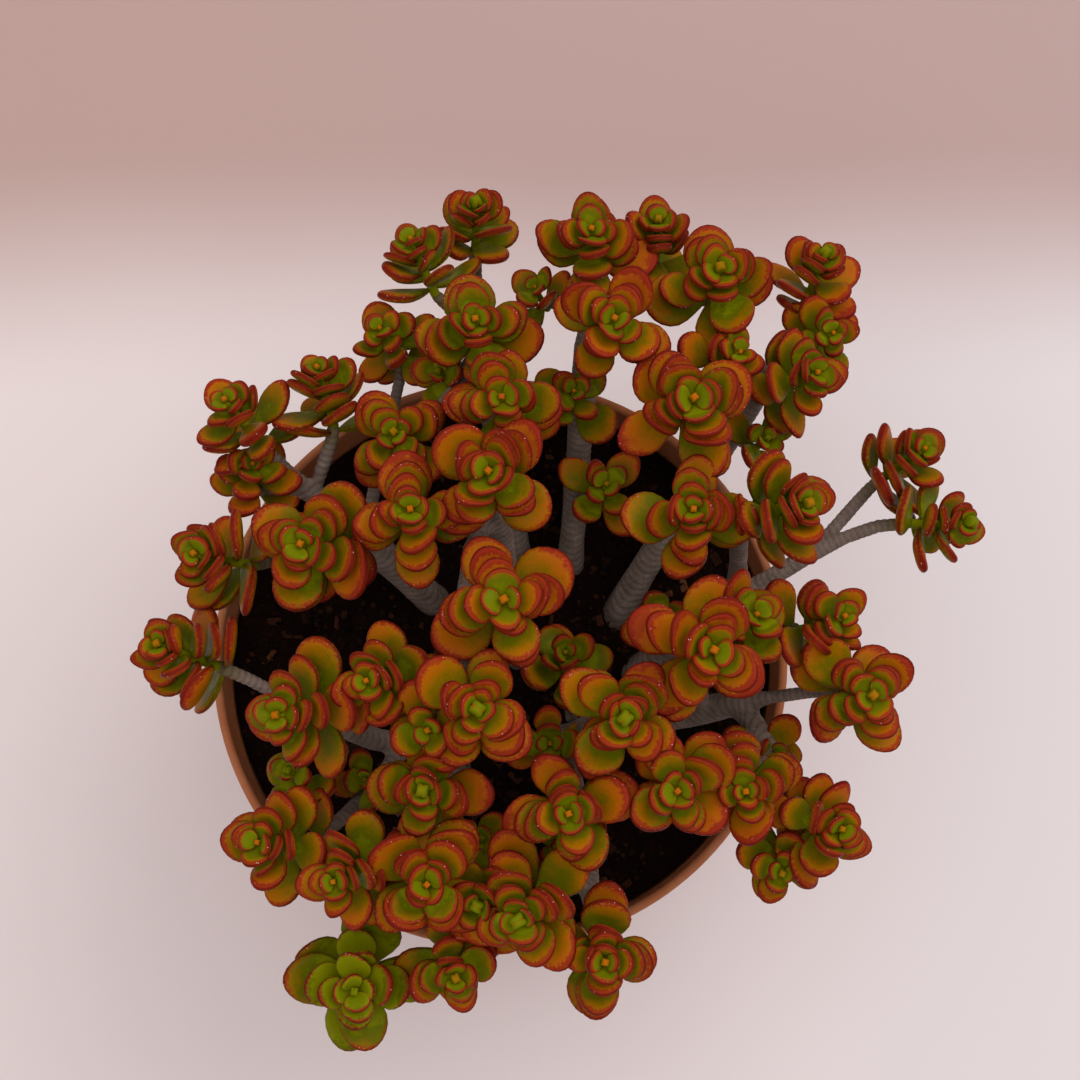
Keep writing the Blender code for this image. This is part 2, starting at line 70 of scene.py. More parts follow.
LIMBS = sorted(name[: -len("_stem")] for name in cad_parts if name.endswith("_stem"))
POT = cad_points("pot")
SOIL = cad_points("soil")
RIM = float(POT[:, 0].max())
LIP_HEIGHT = float(POT[:, 2].max())
FOOT = float(np.hypot(*POT[POT[:, 2] < 0.5 * MM][:, :2].T).max())
SOIL_TOP = float(SOIL[:, 2].max())
SOIL_EDGE = float(np.hypot(*SOIL[SOIL[:, 2] > LIP_HEIGHT / 2][:, :2].T).max())
SOIL_EDGE_HEIGHT = float(SOIL[np.hypot(SOIL[:, 0], SOIL[:, 1]) > SOIL_EDGE - MM][:, 2].max())


def leaf_nodes(limb):
    return sorted(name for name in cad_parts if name.startswith(limb + "_leaves_"))


RISING = 0.60  # how far a shoot's upper part turns from its own axis towards straight up
AXIS_STEPS = 12


class Stand:
    """Where a shoot stands: its seat on the bough, its axis, the way its lowest pair points, its height and reach.

    Its upper part turns towards the light, so the axis bends upwards on the way to the heart.
    """

    def __init__(self, seat, axis, first, height, reach):
        self.seat, self.axis, self.first = Vector(seat), Vector(axis).normalized(), Vector(first)
        self.height, self.reach = height, reach
        self.heart_axis = self.axis.lerp(UP, RISING).normalized()

    def way(self, share):
        """Which way the bent axis runs that far up."""
        return self.axis.lerp(self.heart_axis, eased(share)).normalized()

    def spot(self, share):
        """The point that far up the bent axis, from 0 at the seat to 1 at the top."""
        stride = self.height * share / AXIS_STEPS
        return self.seat + sum(
            (self.way(share * (step + 0.5) / AXIS_STEPS) * stride for step in range(AXIS_STEPS)), Vector(),
        )

    def frame_at(self, share):
        """Turns the shoot's own axes, with its lowest pair along X, to where they are that far up."""
        axis = self.way(share)
        across = self.first - axis * self.first.dot(axis)
        across.normalize()
        turning = Matrix((across, axis.cross(across), axis)).transposed().to_4x4()
        return Matrix.Translation(self.spot(share)) @ turning


def half_turn_misfit(points, middle, way):
    """How far the points land from themselves after half a turn about a line."""
    offset = points - middle
    turned = 2 * np.outer(offset @ way, way) - offset
    gaps = np.linalg.norm(turned[:, None] - offset[None], axis=2)
    return gaps.min(axis=1).max()


def stand_of(node, stem_points):
    """A shoot looks the same after half a turn about its axis, which is how the axis is found."""
    points = cad_points(node)
    middle = points.mean(axis=0)
    ways = np.linalg.eigh(np.cov((points - middle).T))[1].T
    axis = min(ways, key=lambda way: half_turn_misfit(points, middle, way))
    ends = [points[(points @ (axis * sign)).argmax()] for sign in (1, -1)]
    gaps = [np.linalg.norm(stem_points - end, axis=1).min() for end in ends]
    if gaps[0] < gaps[1]:
        axis = -axis
    along = (points - middle) @ axis
    seat = middle + axis * along.min()
    radial = (points - middle) - np.outer(along, axis)
    reach = np.linalg.norm(radial, axis=1)
    return Stand(seat, axis, radial[reach.argmax()], float(np.ptp(along)), float(reach.max()))


# Materials

class Paint:
    """A material's nodes, added one after another."""

    def __init__(self, name, roughness, **sockets):
        self.material = bpy.data.materials.new(name)
        self.material.use_nodes = True
        self.tree = self.material.node_tree
        self.shader = self.tree.nodes["Principled BSDF"]
        self.shader.inputs["Roughness"].default_value = roughness
        for label, value in sockets.items():
            self.shader.inputs[label.replace("_", " ")].default_value = value
        self.place = self.add("ShaderNodeTexCoord").outputs["Object"]

    def add(self, kind, **settings):
        node = self.tree.nodes.new(kind)
        for name, value in settings.items():
            setattr(node, name, value)
        return node

    def feed(self, socket, value):
        """Gives a socket another node's result or a plain value."""
        if isinstance(value, bpy.types.NodeSocket):
            self.tree.links.new(value, socket)
        else:
            socket.default_value = value

    def held(self, name):
        """A value that the mesh holds at each point."""
        return self.add("ShaderNodeAttribute", attribute_name=name).outputs["Fac"]

    def held_colour(self, name):
        return self.add("ShaderNodeAttribute", attribute_name=name).outputs["Color"]

    def noise(self, size, detail=3.0, rough=0.55, stretch=None):
        """Clouds whose patches are about that size, in metres."""
        node = self.add("ShaderNodeTexNoise")
        node.inputs["Scale"].default_value = 1 / size
        node.inputs["Detail"].default_value = detail
        node.inputs["Roughness"].default_value = rough
        self.tree.links.new(self.stretched(stretch), node.inputs["Vector"])
        return node.outputs["Fac"]

    def cells(self, size):
        """How far each spot is from the nearest of many scattered points, about that size apart."""
        node = self.add("ShaderNodeTexVoronoi")
        node.inputs["Scale"].default_value = 1 / size
        self.tree.links.new(self.place, node.inputs["Vector"])
        return node.outputs["Distance"]

    def stretched(self, scale):
        if scale is None:
            return self.place
        node = self.add("ShaderNodeMapping")
        node.inputs["Scale"].default_value = scale
        self.tree.links.new(self.place, node.inputs["Vector"])
        return node.outputs["Vector"]

    def sum(self, *terms):
        """Adds (value, weight) pairs and plain numbers."""
        total = None
        for term in terms:
            value, weight = term if isinstance(term, tuple) else (term, 1.0)
            node = self.add("ShaderNodeMath", operation="MULTIPLY_ADD")
            self.feed(node.inputs[0], value)
            node.inputs[1].default_value = weight
            self.feed(node.inputs[2], 0.0 if total is None else total)
            total = node.outputs["Value"]
        return total

    def times(self, first, second):
        node = self.add("ShaderNodeMath", operation="MULTIPLY")
        self.feed(node.inputs[0], first)
        self.feed(node.inputs[1], second)
        return node.outputs["Value"]

    def between(self, value, low, high, out_low=0.0, out_high=1.0):
        """Eases from out_low to out_high as the value goes from low to high."""
        node = self.add("ShaderNodeMapRange", interpolation_type="SMOOTHSTEP")
        self.feed(node.inputs["Value"], value)
        for label, number in zip(("From Min", "From Max", "To Min", "To Max"), (low, high, out_low, out_high)):
            node.inputs[label].default_value = number
        return node.outputs["Result"]

    def ramp(self, value, stops):
        """Colours that run into one another as the value grows, each at its own place."""
        node = self.add("ShaderNodeValToRGB")
        self.feed(node.inputs["Fac"], value)
        elements = node.color_ramp.elements
        while len(elements) < len(stops):
            elements.new(1.0)
        for element, (place, colour) in zip(elements, stops):
            element.position = place
            element.color = (*colour, 1)
        return node.outputs["Color"]

    def mix(self, share, first, second):
        """The first colour, with that share of the second in it."""
        node = self.add("ShaderNodeMix", data_type="RGBA")
        self.feed(node.inputs["Factor"], share)
        for socket, colour in ((node.inputs["A"], first), (node.inputs["B"], second)):
            self.feed(socket, colour if isinstance(colour, bpy.types.NodeSocket) else (*colour, 1))
        return node.outputs["Result"]

    def colour(self, value):
        self.tree.links.new(value, self.shader.inputs["Base Color"])

    def roughness(self, value):
        self.tree.links.new(value, self.shader.inputs["Roughness"])

    def bump(self, height, depth):
        """Relief whose full height is depth metres."""
        node = self.add("ShaderNodeBump")
        node.inputs["Strength"].default_value = 1.0
        node.inputs["Distance"].default_value = depth
        self.tree.links.new(height, node.inputs["Height"])
        self.tree.links.new(node.outputs["Normal"], self.shader.inputs["Normal"])


LIME, CRIMSON, DARK_RIM = (0.138, 0.162, 0.001), (0.250, 0.019, 0.007), (0.085, 0.003, 0.003)
# The second colour is a painted highlight: pale sparkles along the leaf rims.
PORE, SPARKLE_HIGHLIGHT = (0.46, 0.17, 0.05), (0.80, 0.58, 0.52)


def leaf_finish():
    """Waxy jade leaf: lime in the heart, green at the base, then olive, orange and red to a dark red rim."""
    paint = Paint("jade_leaf", 0.38, Specular_IOR_Level=0.03)
    along, rim, age, sun = (paint.held(name) for name in ("along", "rim", "age", "sun"))
    clouds = paint.noise(0.006, 3)
    fine = paint.noise(0.0013, 2)
    blush = paint.sum((along, 0.78), (rim, 0.20), (age, 0.32), (sun, 0.60), (clouds, 0.62), (fine, 0.26), -0.84)
    flesh = paint.ramp(blush, [
        (0.00, (0.185, 0.198, 0.001)), (0.12, (0.112, 0.128, 0.001)), (0.24, (0.118, 0.110, 0.001)),
        (0.38, (0.190, 0.118, 0.001)), (0.56, (0.310, 0.118, 0.001)), (0.76, (0.415, 0.108, 0.003)),
        (0.92, (0.392, 0.078, 0.006)), (1.00, (0.300, 0.042, 0.008)),
    ])
    heart = paint.between(paint.sum((rim, 0.7), (along, 0.2), (clouds, 0.2)), 0.84, 0.55)
    lime = paint.times(paint.between(age, 0.20, 0.04), heart)
    face = paint.mix(lime, flesh, LIME)
    reddening = paint.sum((rim, 1.0), (along, 0.16), (age, -0.12), (sun, 0.12), (clouds, 0.22), (fine, 0.34))
    band = paint.between(reddening, 1.12, 1.28)
    banded = paint.mix(paint.times(band, 0.88), face, CRIMSON)
    edge = paint.between(paint.sum((rim, 1.0), (fine, 0.03), (along, 0.02)), 0.985, 1.020)
    rimmed = paint.mix(paint.times(edge, 0.7), banded, DARK_RIM)
    pores = paint.between(paint.cells(0.0010), 0.20, 0.10)
    dusting = paint.times(pores, paint.between(paint.noise(0.008, 1), 0.48, 0.62))
    dusted = paint.mix(paint.times(dusting, 0.22), rimmed, PORE)
    # Painted highlight: pale sparkle dots near the rims stand in for tiny glints on the leaf margin.
    sparkle_dots = paint.between(paint.cells(0.0019), 0.13, 0.09)
    painted_sparkle = paint.times(paint.times(sparkle_dots, paint.between(rim, 0.80, 0.92)), paint.between(clouds, 0.50, 0.60))
    paint.colour(paint.mix(paint.times(painted_sparkle, 0.8), dusted, SPARKLE_HIGHLIGHT))
    paint.roughness(paint.between(paint.sum((clouds, 0.6), (fine, 0.4)), 0.2, 0.8, 0.26, 0.46))
    paint.bump(paint.sum((clouds, 0.6), (fine, 0.25)), 0.30 * MM)
    return paint.material


def bark_finish():
    """Grey-brown bark: paler ridges and darker grooves between the old leaf scars, painted light and shade that
    follow the ring relief; olive on the young ends.
    """
    paint = Paint("stem_bark", 0.80, Specular_IOR_Level=0.08)
    ridge, young, damp = paint.held("ridge"), paint.held("young"), paint.held("damp")
    clouds = paint.noise(0.011, 4)
    grain = paint.noise(0.0011, 3)
    # The tone follows the ring relief: painted light on the ridges, painted shade in the grooves.
    tone = paint.sum((ridge, 0.17), (clouds, 0.66), (grain, 0.34), -0.10)
    old = paint.ramp(tone, [
        (0.10, (0.040, 0.028, 0.021)), (0.36, (0.120, 0.086, 0.068)), (0.62, (0.215, 0.162, 0.136)),
        (0.90, (0.330, 0.265, 0.232)),
    ])
    green = paint.ramp(tone, [(0.1, (0.050, 0.034, 0.010)), (0.9, (0.230, 0.185, 0.080))])
    lichen = paint.between(paint.noise(0.004, 3, 0.7), 0.60, 0.72)
    spotted = paint.mix(paint.times(lichen, 0.30), old, (0.420, 0.380, 0.340))
    aged = paint.mix(young, spotted, green)
    paint.colour(paint.mix(paint.times(damp, 0.7), aged, (0.022, 0.014, 0.010)))
    paint.roughness(paint.between(clouds, 0.3, 0.7, 0.70, 0.92))
    paint.bump(paint.sum((grain, 0.7), (clouds, 0.3)), 0.45 * MM)
    return paint.material


def soil_finish():
    """Moist potting mix, nearly black with warm brown flecks."""
    paint = Paint("potting_mix", 0.92, Specular_IOR_Level=0.03)
    clouds = paint.noise(0.012, 5, 0.65)
    grain = paint.noise(0.0022, 4, 0.7)
    tone = paint.sum((clouds, 0.5), (grain, 0.6), -0.05)
    paint.colour(paint.ramp(tone, [
        (0.25, (0.0020, 0.0008, 0.0005)), (0.55, (0.008, 0.0030, 0.0018)), (0.80, (0.034, 0.012, 0.005)),
    ]))
    paint.roughness(paint.between(grain, 0.3, 0.7, 0.75, 1.0))
    paint.bump(tone, 1.6 * MM)
    return paint.material


def chip_finish():
    """Bark chips and crumbs, each of its own brown."""
    paint = Paint("bark_chip", 0.88, Specular_IOR_Level=0.05)
    hue = paint.held_colour("hue")
    grain = paint.noise(0.0015, 3, 0.6, (1.0, 1.0, 2.5))
    paint.colour(paint.mix(paint.between(grain, 0.3, 0.7), paint.mix(0.55, hue, (0.004, 0.002, 0.001)), hue))
    paint.bump(grain, 0.6 * MM)
    return paint.material


def pot_finish():
    """Moulded plastic in terracotta colour, dusty, with faint tide marks near the lip and soil smears inside."""
    paint = Paint("terracotta_plastic", 0.55, Specular_IOR_Level=0.14)
    clouds = paint.noise(0.030, 4)
    fine = paint.noise(0.0025, 3)
    height = paint.held("height")
    inside = paint.held("inside")
    base = paint.ramp(paint.sum((clouds, 0.7), (fine, 0.3)), [
        (0.25, (0.330, 0.100, 0.036)), (0.55, (0.390, 0.128, 0.050)), (0.80, (0.450, 0.165, 0.072)),
    ])
    tide = paint.times(paint.between(height, 0.78, 1.0), paint.between(paint.noise(0.018, 5, 0.6), 0.42, 0.72))
    dusty = paint.mix(paint.times(tide, 0.25), base, (0.50, 0.26, 0.16))
    splash = paint.between(paint.sum((height, -1.0), (paint.noise(0.012, 4, 0.65), 0.5)), 0.12, 0.32)
    foot = paint.mix(paint.times(splash, 0.30), dusty, (0.20, 0.11, 0.07))
    smear = paint.times(inside, paint.between(paint.noise(0.010, 4, 0.65), 0.40, 0.65))
    paint.colour(paint.mix(paint.times(smear, 0.75), foot, (0.030, 0.014, 0.008)))
    paint.roughness(paint.between(paint.sum((clouds, 0.5), (fine, 0.5)), 0.3, 0.7, 0.42, 0.66))
    paint.bump(paint.sum((fine, 0.6), (clouds, 0.4)), 0.12 * MM)
    return paint.material


def floor_finish():
    """Pale pinkish paper with painted shade: it turns a deeper, darker pink behind the pot, where the backdrop lies
    in shade, and painted light makes it a little darker to the east and lighter to the west.
    """
    paint = Paint("backdrop_paper", 0.95)
    split = paint.add("ShaderNodeSeparateXYZ")
    paint.feed(split.inputs["Vector"], paint.place)
    # Painted shade: the paper darkens to a deeper pink behind the pot.
    north = paint.sum((split.outputs["Y"], 1.0), (paint.noise(0.5, 2), 0.06), -0.03)
    shade = paint.between(north, 0.19, 0.36)
    # Painted light: slightly lighter to the west and darker to the east, evening out the brighter lamp on the east
    # side.
    east = paint.between(split.outputs["X"], -0.5, 0.5)
    near = paint.mix(east, (0.78, 0.70, 0.70), (0.72, 0.68, 0.70))
    far = paint.mix(east, (0.485, 0.335, 0.305), (0.463, 0.330, 0.317))
    paint.colour(paint.mix(shade, near, far))
    return paint.material


# Making pieces

def piece_of(bm, name, finish, stands_for, flat_angle=None):
    """A finished piece that rides on the pot and stands for those CAD nodes."""
    mesh = bpy.data.meshes.new(name)
    bm.to_mesh(mesh)
    bm.free()
    mesh.materials.append(finish)
    mesh.shade_smooth()
    if flat_angle is not None:
        mesh.set_sharp_from_angle(angle=math.radians(flat_angle))
    piece = bpy.data.objects.new(name, mesh)
    bpy.context.scene.collection.objects.link(piece)
    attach(piece, BODY)
    if stands_for:
        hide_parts(*stands_for)
    return piece


def soften(piece, levels):
    step = piece.modifiers.new("soft", "SUBSURF")
    step.levels = step.render_levels = levels


# Leaves

LEAF_TRAITS = ("along", "rim", "age", "sun")
# A leaf starts as a ball of six rings, pole to pole through its thickness. How far out each ring is moved in the
# blade's outline, and how far it stays from the middle layer, counted from either pole to the rim
LEAF_ROUND, LEAF_RINGS = 12, 6
RING_TURN = 180 / LEAF_RINGS
RIM_RING = LEAF_RINGS // 2
RING_REACH = (0.0, 0.62, 0.94, 1.0)
RING_LIFT = (1.0, 0.95, 0.72, 0.0)
BUD_SEAM, BUD_SIDE = 0.97, 0.40  # how rim-like a bud's inner faces and its outer side are coloured


class LeafPlan:
    """One leaf: its size, how it leans from the stalk and bends, and what colours it."""

    def __init__(self, length, width, thickness, lean, bend, cup, age, sun, foot=0.36, point=0.0, twist=0.0):
        self.length, self.width, self.thickness = length, width, thickness
        self.lean, self.bend, self.cup = lean, bend, cup
        self.age, self.sun = age, sun
        self.foot, self.point, self.twist = foot, point, twist

    def spot(self, x, y, lift):
        """Where a point of the blade lies: x from -1 at the foot to 1 at the tip, y across, lift out of the face."""
        along = (1 + x) / 2
        neck = self.foot + (1 - self.foot) * eased(along / 0.58)
        across = y * neck * (1 - self.point * max(x, 0) ** 3 * 0.5) * self.width / 2
        thick = lift * self.thickness / 2 * (0.62 + 0.38 * eased(along / 0.6))
        thick += self.cup * self.width * (y * y) * 0.5
        lean = self.lean + self.bend * along
        half = self.lean + self.bend * along / 2
        spine = along * self.length
        place = Vector((math.sin(half) * spine, 0, math.cos(half) * spine))
        normal = Vector((-math.cos(lean), 0, math.sin(lean)))
        turn = self.twist * along
        sideways = Vector((0, math.cos(turn), 0)) + normal * math.sin(turn)
        return place + sideways * across + normal * thick


def add_leaf(bm, plan, bearing, frame_there, foot, closed=False):
    """A fleshy leaf on the stalk's side: a ball pressed flat into the blade's outline, bent and leaned."""
    verts = bmesh.ops.create_uvsphere(bm, u_segments=LEAF_ROUND, v_segments=LEAF_RINGS, radius=1.0)["verts"]
    traits = [bm.verts.layers.float[name] for name in LEAF_TRAITS]
    turning = frame_there @ Matrix.Rotation(bearing, 4, "Z") @ Matrix.Translation((foot, 0, 0))
    for vert in verts:
        ring = round(math.degrees(math.acos(min(abs(vert.co.z), 1))) / RING_TURN)
        flat = vert.co.xy.normalized() * RING_REACH[ring] if ring else Vector((0, 0))
        side = math.copysign(1, vert.co.z) if ring < RIM_RING else 0
        vert.co = turning @ plan.spot(flat.x, flat.y, side * RING_LIFT[ring])
        vert[traits[0]] = (1 + flat.x) / 2
        vert[traits[1]] = flat.length if not closed else (BUD_SEAM if side > 0 else BUD_SIDE)
        vert[traits[2]] = plan.age
        vert[traits[3]] = plan.sun


def tube(bm, path, radii, sides):
    """A round stalk along a path, its rings extruded one from the next."""
    ring = bmesh.ops.create_circle(bm, cap_ends=True, segments=sides, radius=1.0)["verts"]
    flat = [vert.co.copy() for vert in ring]
    rings = [ring]
    edges = list({edge for vert in ring for edge in vert.link_edges if len(edge.link_faces) == 1})
    for _ in path[1:]:
        pulled = bmesh.ops.extrude_edge_only(bm, edges=edges)["geom"]
        edges = [
            item for item in pulled
            if isinstance(item, bmesh.types.BMEdge) and all(vert in pulled for vert in item.verts)
        ]
        rings.append([item for item in pulled if isinstance(item, bmesh.types.BMVert)])
    bmesh.ops.edgeloop_fill(bm, edges=edges)
    for index, (place, radius) in enumerate(zip(path, radii)):
        way = path[min(index + 1, len(path) - 1)] - path[max(index - 1, 0)]
        lay = Matrix.Translation(place) @ way.to_track_quat("Z", "Y").to_matrix().to_4x4()
        for vert, corner in zip(rings[index], flat):
            vert.co = lay @ (corner * radius)
    return rings


STALK_TRAITS = (0.12, 0.25, 0.60, 0.0)
STALK_TOP = 0.88  # the share of the shoot's height at which the stalk ends and the bud sits
STALK_RADIUS, STALK_SHARE = 2.9 * MM, 0.11  # the most, and as a share of the shoot's reach


def add_stalk(bm, stand, top, radius):
    """The green stalk that carries the leaves, closed at both ends."""
    traits = [bm.verts.layers.float[name] for name in LEAF_TRAITS]
    path = [stand.seat - stand.axis * 3 * MM, *(stand.spot(top * step / 5) for step in range(6))]
    for ring in tube(bm, path, [radius * (1 - 0.07 * step) for step in range(7)], 8):
        for vert in ring:
            for trait, value in zip(traits, STALK_TRAITS):
                vert[trait] = value


LEAF_FOOTING = 0.6 * MM  # from the shoot's axis to a leaf's foot
GROWN_LEAF = 1.12  # a full-grown leaf's length, as a share of the shoot's reach
LEAF_THICKNESS = 5.2 * MM


def leaf_pairs(chance, stand, pairs, sun):
    """The shoot's pairs from the lowest up: the two leaves' plans, their bearing and how far up they sit.

    Pairs below zero are older leaves that hang under the rosette. The higher a pair, the younger, smaller,
    broader and steeper its leaves.
    """
    grown = stand.reach * GROWN_LEAF
    drift = chance.uniform(-0.05, 0.05)
    spread = chance.uniform(-8, 4)
    own_sun = sun + chance.uniform(-0.12, 0.12)
    old = chance.choice((0, 1, 1, 2)) if pairs > 4 else 0
    for pair in range(-old, pairs):
        young = max(pair, 0) / (pairs - 1)
        size = (1 - 0.72 * young**1.3) * chance.uniform(0.94, 1.05) * (1 + 0.10 * min(pair, 0))
        leaves = []
        for _ in range(2):
            length = grown * size * chance.uniform(0.83, 1.10)
            leaves.append(LeafPlan(
                length=min(length, grown),
                width=length * (0.78 + 0.40 * young**4) * chance.uniform(0.90, 1.12),
                thickness=LEAF_THICKNESS * math.sqrt(size) * chance.uniform(0.88, 1.12),
                lean=math.radians(98 + spread - 38 * young + chance.uniform(-15, 15) * (1 - 0.6 * young)),
                bend=math.radians(-34 - 22 * math.sin(math.pi * young) + 16 * young + chance.uniform(-14, 10)),
                cup=0.08 + 0.06 * young,
                age=1 - young,
                sun=own_sun + chance.uniform(-0.36, 0.34),
                foot=0.36 + 0.56 * young**2,
                point=chance.uniform(0.0, 0.45),
                twist=chance.uniform(-0.42, 0.42),
            ))
        bearing = math.pi / 2 * (pair % 2) + drift * pair + chance.uniform(-0.17, 0.17)
        yield leaves, bearing, 0.06 + 0.80 * young**0.95 + 0.17 * min(pair, 0)


# A bud's size as a share of the shoot's reach, and its age: the smallest are orange, the largest lime
BUDS = ((0.14, 0.75), (0.15, 0.60), (0.17, 0.45), (0.22, 0.15), (0.30, 0.05))


def add_bud(bm, bearing, frame_there, size, age, sun):
    """The closed pair in the heart, pressed face to face; from a speck to nearly a leaf."""
    for half_turn in (0, math.pi):
        bud = LeafPlan(
            length=size, width=0.80 * size, thickness=0.42 * size, lean=math.radians(-1), bend=math.radians(-10),
            cup=-0.10, age=age, sun=sun + 0.10, foot=0.70,
        )
        add_leaf(bm, bud, bearing + half_turn, frame_there, 0.15 * size, closed=True)


def new_leafage():
    bm = bmesh.new()
    for trait in LEAF_TRAITS:
        bm.verts.layers.float.new(trait)
    return bm


def grow_shoot(name, stand, pairs, sun, finish, stands_for):
    """A rosette of crossed leaf pairs with its stalk and its closed bud."""
    chance = random.Random(name)
    bm = new_leafage()
    add_stalk(bm, stand, STALK_TOP, min(STALK_RADIUS, STALK_SHARE * stand.reach))
    for leaves, bearing, share in leaf_pairs(chance, stand, pairs, sun):
        for plan, half_turn in zip(leaves, (0, math.pi)):
            add_leaf(bm, plan, bearing + half_turn, stand.frame_at(share), LEAF_FOOTING)
    size, age = chance.choice(BUDS)
    add_bud(bm, math.pi / 2 * (pairs % 2), stand.frame_at(STALK_TOP), stand.reach * size, age, sun)
    bmesh.ops.recalc_face_normals(bm, faces=bm.faces)
    piece = piece_of(bm, name, finish, stands_for)
    soften(piece, 1)


# How red a shoot is beyond what its height gives it
OWN_TONE = {
    "front_left_leaves_4": -0.90,
    "front_left_leaves_3": -0.12,
    "front_left_leaves_2": -0.10,
    "front_leaves_5": -0.10,
    "left_leaves_1": -0.10,
    "right_leaves_4": -0.06,
    "right_leaves_5": -0.14,
}
PAIRS_BY_REACH = ((24.0 * MM, 6), (27.5 * MM, 8), (1.0, 9))  # shoots of less than that reach have so many
LOW_SUN, HIGH_SUN = -0.14, 0.14  # the tone of the lowest and of the highest shoot


def make_shoots(finish):
    stands = []
    for limb in LIMBS:
        stem_points = cad_points(limb + "_stem")
        for node in leaf_nodes(limb):
            stands.append((node, stand_of(node, stem_points)))
    tips = [stand.seat.z for _, stand in stands]
    lowest, highest = min(tips), max(tips)
    for node, stand in stands:
        rise = (stand.seat.z - lowest) / (highest - lowest)
        sun = LOW_SUN + (HIGH_SUN - LOW_SUN) * rise + OWN_TONE.get(node, 0.0)
        pairs = next(count for reach, count in PAIRS_BY_REACH if stand.reach < reach)
        grow_shoot(node + "_blades", stand, pairs, sun, finish, [node])
    return [stand for _, stand in stands]


# Small leafy sprigs low in the crown: place as shares of the rim's radius, rise above the lip as a share of the
# lip's height, reach in mm, pairs and tone
SPRIGS = {
    "sprig_back": (0.121, 1.193, 0.262, 15, 4, -0.05),
    "sprig_left": (-0.657, -0.457, 0.340, 14, 4, -0.40),
    "sprig_front_twin": (-0.050, -0.886, 0.470, 20, 5, -0.05),
    "sprig_right": (0.807, 0.000, 0.500, 20, 5, -0.12),
    "sprig_centre_twin": (-0.200, -0.370, 0.560, 19, 5, 0.00),
    "sprig_back_olive": (-0.200, 0.879, 0.290, 17, 4, -0.20),
    "sprig_centre_green": (0.357, 0.493, 0.286, 19, 5, -0.18),
    "sprig_middle_green": (0.221, -0.057, 0.238, 18, 5, -0.45),
    "sprig_left_green": (-0.429, -0.471, 0.238, 16, 4, -0.50),
    "sprig_front_green": (-0.050, -0.664, 0.286, 16, 4, -0.48),
    "sprig_front_low": (0.214, -0.700, 0.333, 17, 4, -0.45),
    "sprig_right_green": (0.900, 0.671, 0.238, 17, 4, -0.40),
    "sprig_right_gold": (0.907, -0.386, 0.214, 17, 4, -0.10),
    "sprig_back_gold": (0.250, 0.790, 0.340, 18, 5, -0.06),
    "sprig_front_middle": (0.170, -0.360, 0.270, 17, 5, -0.25),
    "sprig_right_olive": (0.560, 0.060, 0.230, 16, 4, -0.30),
}


SPRIG_GROWTH = 1.3  # all of them grow larger than listed by this
SPRIG_STEPS = 10


def make_sprigs(leaf, bark):
    """Grows each sprig on a thin stalk from the nearest bough."""
    wood = np.vstack([cad_points(limb + "_stem") for limb in LIMBS])
    stalks = bmesh.new()
    ridge, young, damp = (stalks.verts.layers.float.new(name) for name in ("ridge", "young", "damp"))
    for name, (east, north, rise, reach, pairs, tone) in SPRIGS.items():
        reach *= SPRIG_GROWTH
        chance = random.Random(name)
        head = Vector((east * RIM, north * RIM, LIP_HEIGHT * (1 + rise)))
        below = wood[wood[:, 2] < head.z - 12 * MM]
        gaps = np.linalg.norm((below - head) * (1, 1, 0.8), axis=1)
        foot = Vector(below[gaps.argmin()])
        outward = Vector((east, north, 0)) * 0.35 + UP
        axis = (outward.normalized() * 0.8 + (head - foot).normalized() * 0.6).normalized()
        height = reach * MM * 0.95
        stand = Stand(head - axis * height * 0.7, axis, Vector((1, chance.uniform(-1, 1), 0)), height, reach * MM)
        grow_shoot(name, stand, pairs, tone, leaf, [])
        bow = (stand.seat - foot).length * 0.3
        path = []
        for step in range(SPRIG_STEPS + 1):
            share = step / SPRIG_STEPS
            line = foot.lerp(stand.seat + axis * 3 * MM, share)
            path.append(line - axis * bow * share * (1 - share) * 1.4)
        thick = [(2.4 - 0.9 * step / SPRIG_STEPS) * MM * reach / 18 for step in range(SPRIG_STEPS + 1)]
        for index, ring in enumerate(tube(stalks, path, thick, 10)):
            for vert in ring:
                vert[ridge], vert[young], vert[damp] = index % 2, eased(index / SPRIG_STEPS * 1.3 - 0.4), 0.0
    bmesh.ops.recalc_face_normals(stalks, faces=stalks.faces)
    soften(piece_of(stalks, "sprig_stalks", bark, []), 1)


# Stems

VOXEL = 1.0 * MM
# Rounds of blurring: of the skin, of what that sank it by, and of the lengths that place the rings
ROUNDING, REFILLING, RING_EVENING = 36, 24, 120
RING_GAP = (2.7, 3.2)  # mm from ring to ring, on the closest and on the loosest limb
RING_HEIGHT, SWELLING, WANDERING = 0.34 * MM, 0.45 * MM, 1.2 * MM
YOUNG_END, DAMP_FOOT = 18 * MM, 14 * MM


def drop_specks(mesh):
    """Takes away any speck of skin that isn't joined to the stem's foot."""
    bm = bmesh.new()
    bm.from_mesh(mesh)
    lowest = min(bm.verts, key=lambda vert: vert.co.z)
    joined, waiting = {lowest}, [lowest]
    while waiting:
        for edge in waiting.pop().link_edges:
            for vert in edge.verts:
                if vert not in joined:
                    joined.add(vert)
                    waiting.append(vert)
    specks = [vert for vert in bm.verts if vert not in joined]
    if specks:
        bmesh.ops.delete(bm, geom=specks, context="VERTS")
        bm.to_mesh(mesh)
    bm.free()


